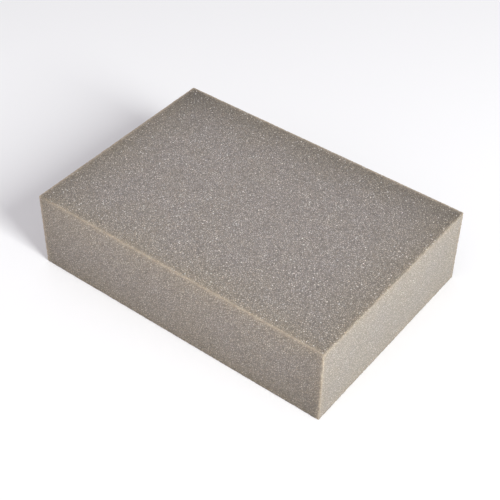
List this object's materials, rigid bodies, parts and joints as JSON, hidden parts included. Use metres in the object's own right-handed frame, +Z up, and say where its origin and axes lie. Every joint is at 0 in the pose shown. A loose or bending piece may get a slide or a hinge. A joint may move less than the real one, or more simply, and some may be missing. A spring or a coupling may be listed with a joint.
{
  "type": "foam block",
  "caption": "Rectangular block of soft grey open-cell foam with straight cut faces, used as a pad, spacer or cushion on a bench or desk.",
  "frame": {"origin": "middle of the large face that the block stands on", "axes": "+X along the length, +Y along the width, +Z up through the thickness"},
  "size_m": [0.2, 0.14, 0.051],
  "materials": {
    "grey_foam": "matte, open cells"
  },
  "bodies": {
    "root": {"foam_block": "grey_foam"}
  },
  "joints": []
}
